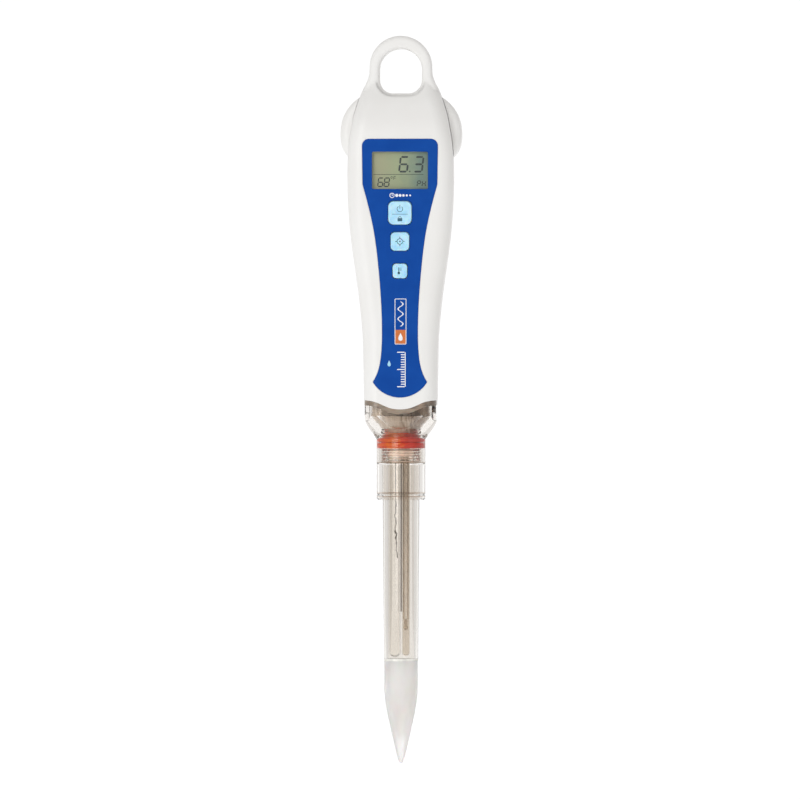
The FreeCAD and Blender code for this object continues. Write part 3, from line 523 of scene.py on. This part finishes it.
def rounded_outline(x, z, width, height, radius, steps=6):
    """A rectangle with round corners."""
    points = []
    corners = ((1, 1, 0), (-1, 1, 90), (-1, -1, 180), (1, -1, 270))
    for side_x, side_z, start in corners:
        centre_x = x + side_x * (width / 2 - radius)
        centre_z = z + side_z * (height / 2 - radius)
        for step in range(steps + 1):
            angle = math.radians(start + 90.0 * step / steps)
            points.append((centre_x + radius * math.cos(angle), centre_z + radius * math.sin(angle)))
    return points


def circle_outline(x, z, radius, steps=32, start=0.0, sweep=360.0):
    points = []
    for step in range(steps):
        angle = math.radians(start + sweep * step / steps)
        points.append((x + radius * math.cos(angle), z + radius * math.sin(angle)))
    return points


def drop_outline(x, z, radius, steps=28):
    """A drop with its point at the top."""
    points = []
    for step in range(steps):
        angle = 2 * math.pi * step / steps
        swell = math.sin(angle / 2) ** 1.5
        points.append((x + radius * math.sin(angle) * swell, z + 1.3 * radius * math.cos(angle)))
    return points


def add_bar(builder, x, z, width, height, plane, radius=None):
    """A bar with round corners, by default all but semicircular ends."""
    radius = 0.45 * min(width, height) if radius is None else radius
    add_plate(builder, rounded_outline(x, z, width, height, radius, 4), plane)


def add_arc(builder, x, z, radius, thickness, plane, start=0.0, sweep=359.0, steps=32):
    """An open ring, drawn as one plate."""
    outer = circle_outline(x, z, radius + thickness / 2, steps, start, sweep)
    inner = circle_outline(x, z, radius - thickness / 2, steps, start, sweep)
    add_plate(builder, outer + list(reversed(inner)), plane)


def add_wave(builder, x, z_low, z_high, reach, turns, width, plane, steps=48):
    """An upright wavy stroke."""
    left, right = [], []
    for step in range(steps + 1):
        share = step / steps
        centre = x + reach * math.sin(2 * math.pi * turns * share)
        z = z_low + share * (z_high - z_low)
        left.append((centre - width / 2, z))
        right.append((centre + width / 2, z))
    add_plate(builder, right + list(reversed(left)), plane)


# ---------------------------------------------------------------- display
# seven segments: a top, b upper right, c lower right, d bottom, e lower left, f upper left, g middle
SEGMENTS = {"3": "abgcd", "6": "afgedc", "8": "abcdefg", "F": "afge", "H": "bcefg", "P": "abefg"}
SLANT = 0.12                 # sideways shift of a digit for each unit of height


def add_segment(builder, start, end, half, base_z):
    """A pointed bar between two corners of a digit, slanted with the digit."""
    start_x, start_z = start
    end_x, end_z = end
    length = math.hypot(end_x - start_x, end_z - start_z)
    unit_x, unit_z = (end_x - start_x) / length, (end_z - start_z) / length
    gap = 0.35 * half
    outline = []
    for along, across in ((gap, 0), (gap + half, half), (length - gap - half, half),
                          (length - gap, 0), (length - gap - half, -half), (gap + half, -half)):
        x = start_x + unit_x * along - unit_z * across
        z = start_z + unit_z * along + unit_x * across
        outline.append((x + SLANT * (z - base_z), z))
    add_plate(builder, outline, LCD_PLANE)


def add_digits(builder, symbols, z, width, height, half):
    """A row of seven-segment digits, each (symbol, millimetres to its left side), standing on z."""
    low, middle, high = z, z + height / 2, z + height
    for symbol, left_mm in symbols:
        left, right = left_mm * MM, left_mm * MM + width
        lines = {
            "a": ((left, high), (right, high)), "g": ((left, middle), (right, middle)),
            "d": ((left, low), (right, low)), "f": ((left, middle), (left, high)),
            "b": ((right, middle), (right, high)), "e": ((left, low), (left, middle)),
            "c": ((right, low), (right, middle)),
        }
        for letter in SEGMENTS[symbol]:
            add_segment(builder, *lines[letter], half, z)


def make_display_segments():
    """The reading with its point, a rule under it, the temperature and the unit signs."""
    low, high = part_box("lcd_window")
    middle = (low.z + high.z) / 2
    foot = middle - 5.5 * MM
    builder = bmesh.new()
    add_digits(builder, (("6", -0.35), ("3", 4.75)), middle - 0.4 * MM, 2.7 * MM, 5.0 * MM, 0.32 * MM)
    add_bar(builder, 3.3 * MM, middle - 0.35 * MM, 0.55 * MM, 0.55 * MM, LCD_PLANE)
    add_bar(builder, -0.6 * MM, middle - 1.4 * MM, 17.2 * MM, 0.16 * MM, LCD_PLANE)
    add_digits(builder, (("6", -7.7), ("8", -5.55)), foot, 1.6 * MM, 2.9 * MM, 0.2 * MM)
    add_arc(builder, -2.9 * MM, middle - 2.4 * MM, 0.3 * MM, 0.16 * MM, LCD_PLANE, steps=16)
    add_digits(builder, (("F", -2.3),), middle - 3.2 * MM, 0.75 * MM, 1.15 * MM, 0.11 * MM)
    add_digits(builder, (("P", 5.8), ("H", 7.5)), foot, 1.1 * MM, 1.9 * MM, 0.15 * MM)
    finish_piece("lcd_segments", builder, "meter", "segment_dark")


# ---------------------------------------------------------------- printed marks
def make_timer_mark():
    """Under the display: a small clock with fading dots, for the meter switching itself off."""
    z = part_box("lcd_window")[0].z - 1.25 * MM
    clock_x, first_dot_mm, dot_pitch_mm = -2.7 * MM, -1.1, 1.15
    builder = bmesh.new()
    add_arc(builder, clock_x, z, 0.75 * MM, 0.24 * MM, LABEL_PLANE)
    add_bar(builder, clock_x, z + 0.2 * MM, 0.2 * MM, 0.6 * MM, LABEL_PLANE)
    add_bar(builder, -2.5 * MM, z, 0.5 * MM, 0.2 * MM, LABEL_PLANE)
    for index in range(5):
        radius = (0.55 - 0.06 * index) * MM
        x = (first_dot_mm + dot_pitch_mm * index) * MM
        add_plate(builder, circle_outline(x, z, radius, 20), LABEL_PLANE)
    finish_piece("timer_mark", builder, "meter", "print_white")


# the strip and the scale on the label, with heights above the tip
STRIP_X, STRIP_WIDTH, STRIP_LINE = 0.2 * MM, 4.0 * MM, 0.22 * MM
STRIP_TOP, STRIP_DIVIDE, STRIP_FOOT = 159.6 * MM, 149.1 * MM, 143.9 * MM
SCALE_TOP, SCALE_FOOT, SCALE_STEPS = 141.2 * MM, 129.4 * MM, 14


def make_scale_mark():
    """An upright strip, which is a frame with a wavy stroke and a drop, and a plain scale under it."""
    middle, height = (STRIP_TOP + STRIP_FOOT) / 2, STRIP_TOP - STRIP_FOOT
    builder = bmesh.new()
    outer = rounded_outline(STRIP_X, middle, STRIP_WIDTH, height, 0.35 * MM)
    inner = rounded_outline(STRIP_X, middle, STRIP_WIDTH - 2 * STRIP_LINE, height - 2 * STRIP_LINE, 0.2 * MM)
    add_plate(builder, outer, LABEL_PLANE, inner)
    wave_low, wave_high = STRIP_DIVIDE + 1.0 * MM, STRIP_TOP - 1.0 * MM
    add_wave(builder, STRIP_X, wave_low, wave_high, 0.85 * MM, 2.5, 0.45 * MM, LABEL_PLANE)
    drop = drop_outline(STRIP_X, (STRIP_DIVIDE + STRIP_FOOT) / 2, 1.05 * MM)
    add_plate(builder, drop, LABEL_PLANE - 2 * PRINT)
    tick_right = STRIP_X + 1.4 * MM
    for index in range(SCALE_STEPS + 1):
        length = (2.6 if index % 7 == 0 else 1.3) * MM
        z = SCALE_FOOT + (SCALE_TOP - SCALE_FOOT) * index / SCALE_STEPS
        add_bar(builder, tick_right - length / 2, z, length, 0.34 * MM, LABEL_PLANE)
    add_bar(builder, STRIP_X + 1.6 * MM, (SCALE_TOP + SCALE_FOOT) / 2, 0.3 * MM, SCALE_TOP - SCALE_FOOT,
            LABEL_PLANE - PRINT)
    finish_piece("scale_mark", builder, "meter", "print_white")


def make_orange_block():
    """The block behind the strip's drop."""
    builder = bmesh.new()
    block = rounded_outline(STRIP_X, (STRIP_DIVIDE + STRIP_FOOT) / 2, STRIP_WIDTH - 2 * STRIP_LINE,
                            STRIP_DIVIDE - STRIP_FOOT - 2 * STRIP_LINE, 0.15 * MM)
    add_plate(builder, block, LABEL_PLANE - PRINT / 2)
    finish_piece("orange_block", builder, "meter", "print_orange")


def make_drop_mark():
    """A small light blue drop beside the scale."""
    x, z, radius = -3.7 * MM, 137.4 * MM, 0.8 * MM
    builder = bmesh.new()
    add_plate(builder, drop_outline(x, z, radius), LABEL_PLANE)
    finish_piece("drop_mark", builder, "meter", "key_light_blue")


def key_face(name):
    """Middle height of a key, and the plane its mark is laid on, so that the mark is all but flush."""
    low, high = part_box(name)
    return (low.z + high.z) / 2, low.y + 0.7 * PRINT


def make_power_mark():
    """A power sign, a rule and a lock."""
    z, plane = key_face("power_button")
    builder = bmesh.new()
    add_arc(builder, 0.0, z + 1.35 * MM, 0.95 * MM, 0.2 * MM, plane, 120, 300)
    add_bar(builder, 0.0, z + 2.1 * MM, 0.2 * MM, 1.3 * MM, plane)
    add_bar(builder, 0.0, z - 0.45 * MM, 5.4 * MM, 0.14 * MM, plane)
    add_bar(builder, 0.0, z - 2.35 * MM, 1.6 * MM, 1.1 * MM, plane, 0.2 * MM)
    add_arc(builder, 0.0, z - 1.8 * MM, 0.5 * MM, 0.18 * MM, plane, 0, 180, 20)
    finish_piece("power_mark", builder, "power_button", "print_grey")


def make_target_mark():
    """A ring with a dot and four ticks, for calibration."""
    z, plane = key_face("cal_button")
    tick_out, tick_length, line = 1.35 * MM, 0.6 * MM, 0.24 * MM
    builder = bmesh.new()
    add_arc(builder, 0.0, z, 0.95 * MM, line, plane)
    add_plate(builder, circle_outline(0.0, z, 0.28 * MM, 20), plane)
    for side in (-1, 1):
        add_bar(builder, side * tick_out, z, tick_length, line, plane)
        add_bar(builder, 0.0, z + side * tick_out, line, tick_length, plane)
    finish_piece("target_mark", builder, "cal_button", "print_grey")


def make_thermometer_mark():
    """A thermometer with three ticks, for the units."""
    z, plane = key_face("units_button")
    stem_x, tick_x = -0.35 * MM, 0.35 * MM
    builder = bmesh.new()
    add_plate(builder, circle_outline(stem_x, z - 0.75 * MM, 0.45 * MM, 24), plane)
    add_bar(builder, stem_x, z + 0.25 * MM, 0.34 * MM, 1.9 * MM, plane)
    for index in range(3):
        add_bar(builder, tick_x, z + (0.05 + 0.45 * index) * MM, 0.5 * MM, 0.16 * MM, plane)
    finish_piece("thermometer_mark", builder, "units_button", "print_grey")


# ---------------------------------------------------------------- pieces that replace plain CAD ones
def ring_profile(low_z, high_z, outer, inner, steps=10):
    """Section of a squeezed ring with a bulging outer face, open on its inside, as (radius, z)."""
    half = (high_z - low_z) / 2
    points = [(inner, low_z)]
    for step in range(steps + 1):
        angle = math.radians(-90.0 + 180.0 * step / steps)
        bulge = 0.12 * half * (1.0 - math.cos(angle))
        points.append((outer - bulge, (low_z + high_z) / 2 + half * math.sin(angle)))
    return points


def lathe(builder, profile, steps=144):
    """Turns a closed profile of (radius, z) about the probe's axis."""
    rings = []
    for radius, z in profile:
        ring = []
        for step in range(steps):
            turn = 2 * math.pi * step / steps
            ring.append(builder.verts.new((radius * math.cos(turn), radius * math.sin(turn), z)))
        rings.append(ring)
    for first, second in zip(rings, rings[1:] + rings[:1]):
        join_rings(builder, first, second)


def make_squeezed_ring(name, profile):
    builder = bmesh.new()
    lathe(builder, profile)
    piece = finish_piece(name, builder, "meter", "ring_red")
    smooth_faces(piece.data)
    return piece


def make_squeezed_rings():
    """The O-rings as they sit: pressed wide against the clear neck, so that they show right across it."""
    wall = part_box("o_ring_upper")[1].x + 0.09 * MM      # outer radius, on the neck's wall
    seat = 5.0 * MM                                     # inner radius
    low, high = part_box("o_ring_lower")
    foot, head = low.z - 0.15 * MM, high.z + 0.3 * MM
    seam = head + 0.2 * MM
    profile = ring_profile(foot, head, wall, seat) + [(wall, head), (wall, seam), (seat, seam)]
    lower = make_squeezed_ring("o_ring_lower_squeezed", profile)
    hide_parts("o_ring_lower")

    low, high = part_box("o_ring_upper")
    foot, head = low.z - 0.3 * MM, high.z - 0.3 * MM
    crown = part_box("probe_collar")[1].z + 0.9 * MM
    crown_inner, shoulder = seat - 0.2 * MM, 1.6 * MM
    profile = ring_profile(foot, head, wall, seat)
    steps = 8
    for step in range(steps + 1):
        angle = math.radians(90.0 * step / steps)
        rise = (crown - head) * math.sin(angle)
        profile.append((crown_inner + shoulder * math.cos(angle), head + rise))
    profile.append((seat - 0.25 * MM, foot))
    upper = make_squeezed_ring("o_ring_upper_squeezed", profile)
    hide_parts("o_ring_upper")


def make_kinked_wire():
    """The silver wire in the glass stem: drawn wire bent by hand, with a few thicker, darker spots.

    Its foot stands to the right of the rest, and only its lower half is kinked.
    """
    low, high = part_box("silver_wire")
    middle_y = (low.y + high.y) / 2
    steps, sides = 64, 8
    foot_gap_mm, lean_mm, kink_mm, thin_mm, spot_mm = 0.28, 0.65, 0.32, 0.14, 0.28
    leans_to, kinked_from, kinked_to, spots_to = 0.3, 0.06, 0.5, 0.45       # shares of its length
    chance = random.Random(7)
    builder = bmesh.new()
    rings = []
    kink = 0.0
    for step in range(steps + 1):
        share = step / steps
        if step % 2 == 0:
            kink = chance.uniform(-kink_mm, kink_mm) * MM * (kinked_from < share < kinked_to)
        x = high.x - (foot_gap_mm + lean_mm * min(1.0, share / leans_to)) * MM + kink
        radius = (thin_mm + spot_mm * chance.random() ** 2 * (share < spots_to)) * MM
        z = low.z + share * (high.z - low.z)
        ring = []
        for side in range(sides):
            turn = 2 * math.pi * side / sides
            y = middle_y + radius * math.sin(turn)
            ring.append(builder.verts.new((x + radius * math.cos(turn), y, z)))
        rings.append(ring)
    for first, second in zip(rings, rings[1:]):
        join_rings(builder, first, second)
    builder.faces.new(rings[0])
    builder.faces.new(rings[-1])
    wire = finish_piece("silver_wire_kinked", builder, "meter", "wire_silver")
    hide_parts("silver_wire")


# ---------------------------------------------------------------- studio
BACKDROP_GLOW = 1.02         # just past white in the picture


def make_backdrop():
    """A glowing pale floor that curves up into a wall behind the meter, like a light table."""
    half_width, front, back, height = 1.5, -8.0, 7.0, 8.0
    bend, steps = 2.0, 16
    floor_z = -0.5 * MM
    profile = [(front, floor_z), (back - bend, floor_z)]
    for step in range(1, steps + 1):
        angle = math.radians(90.0 * step / steps)
        profile.append((back - bend + bend * math.sin(angle), floor_z + bend - bend * math.cos(angle)))
    profile.append((back, floor_z + height))
    builder = bmesh.new()
    rows = [[builder.verts.new((x, y, z)) for x in (-half_width, half_width)] for y, z in profile]
    for lower, upper in zip(rows, rows[1:]):
        builder.faces.new((lower[0], lower[1], upper[1], upper[0]))
    mesh = bpy.data.meshes.new("backdrop")
    builder.to_mesh(mesh)
    builder.free()
    smooth_faces(mesh)
    mesh.materials.append(new_material("backdrop_white", (0.05, 0.05, 0.05), 0.9, Specular_IOR_Level=0.0,
                                       Emission_Color=(*WHITE, 1.0), Emission_Strength=BACKDROP_GLOW))
    backdrop = bpy.data.objects.new("backdrop", mesh)
    bpy.context.scene.collection.objects.link(backdrop)


def make_room():
    """A room that is dimmer in front of the meter than behind it, and plain white where it is looked at."""
    world = bpy.data.worlds.new("studio")
    world.use_nodes = True
    tree = world.node_tree
    room = tree.nodes["Background"]
    room.inputs["Color"].default_value = (1.0, 0.985, 0.97, 1.0)
    front_to_back, dim_to_bright = (-0.3, 0.7), (0.46, 0.80)
    strength = map_range(tree, coordinate(tree, "Y", "Generated"), front_to_back, dim_to_bright)
    tree.links.new(strength, room.inputs["Strength"])
    white = tree.nodes.new("ShaderNodeBackground")
    white.inputs["Color"].default_value = (*WHITE, 1.0)
    white.inputs["Strength"].default_value = BACKDROP_GLOW
    path = tree.nodes.new("ShaderNodeLightPath")
    either = tree.nodes.new("ShaderNodeMixShader")
    tree.links.new(path.outputs["Is Camera Ray"], either.inputs["Fac"])
    tree.links.new(room.outputs["Background"], either.inputs[1])
    tree.links.new(white.outputs["Background"], either.inputs[2])
    tree.links.new(either.outputs["Shader"], tree.nodes["World Output"].inputs["Surface"])
    bpy.context.scene.world = world


METER_MIDDLE = Vector((0.0, 0.0, 0.13))


def add_area_light(name, place, size, power):
    """A lamp in metres and watts, aimed at the meter."""
    light = bpy.data.lights.new(name, "AREA")
    light.shape = "RECTANGLE"
    light.size, light.size_y = size
    light.energy = power
    lamp = bpy.data.objects.new(name, light)
    lamp.location = place
    lamp.rotation_euler = (METER_MIDDLE - Vector(place)).to_track_quat("-Z", "Y").to_euler()
    bpy.context.scene.collection.objects.link(lamp)


def make_lights():
    add_area_light("key_left", (-0.9, -1.7, 0.7), (1.0, 1.4), 13.0)
    add_area_light("fill_right", (1.3, -1.0, 0.3), (0.5, 1.2), 1.0)
    add_area_light("fill_top", (0.0, -1.4, 1.5), (1.2, 0.8), 1.2)


CAMERA_AZIMUTH = 2.0         # degrees towards the meter's right-hand side
CAMERA_DISTANCE = 4.0
CAMERA_HEIGHT = 0.125
CAMERA_SIDE = -0.36 * MM     # the meter stands this far off the middle of the view
FRAME_HEIGHT = 0.2748        # height of the view at the meter
FRAME_ASPECT = 800 / 799     # width over height
SENSOR_MM = 36.0


def make_camera():
    camera = bpy.data.cameras.new("camera")
    camera.sensor_fit = "HORIZONTAL"
    camera.sensor_width = SENSOR_MM
    camera.lens = SENSOR_MM * CAMERA_DISTANCE / (FRAME_HEIGHT * FRAME_ASPECT)
    camera.clip_end = 20.0
    holder = bpy.data.objects.new("camera", camera)
    azimuth = math.radians(CAMERA_AZIMUTH)
    along, across = (math.sin(azimuth), -math.cos(azimuth)), (math.cos(azimuth), math.sin(azimuth))
    x, y = (CAMERA_DISTANCE * ahead + CAMERA_SIDE * aside for ahead, aside in zip(along, across))
    holder.location = (x, y, CAMERA_HEIGHT)
    holder.rotation_euler = (math.pi / 2, 0.0, azimuth)
    bpy.context.scene.collection.objects.link(holder)
    bpy.context.scene.camera = holder


make_camera()
bpy.context.scene.view_settings.view_transform = "Standard"
dress_cad_nodes()
make_display_segments()
make_timer_mark()
make_scale_mark()
make_orange_block()
make_drop_mark()
make_power_mark()
make_target_mark()
make_thermometer_mark()
make_squeezed_rings()
make_kinked_wire()
make_backdrop()
make_room()
make_lights()
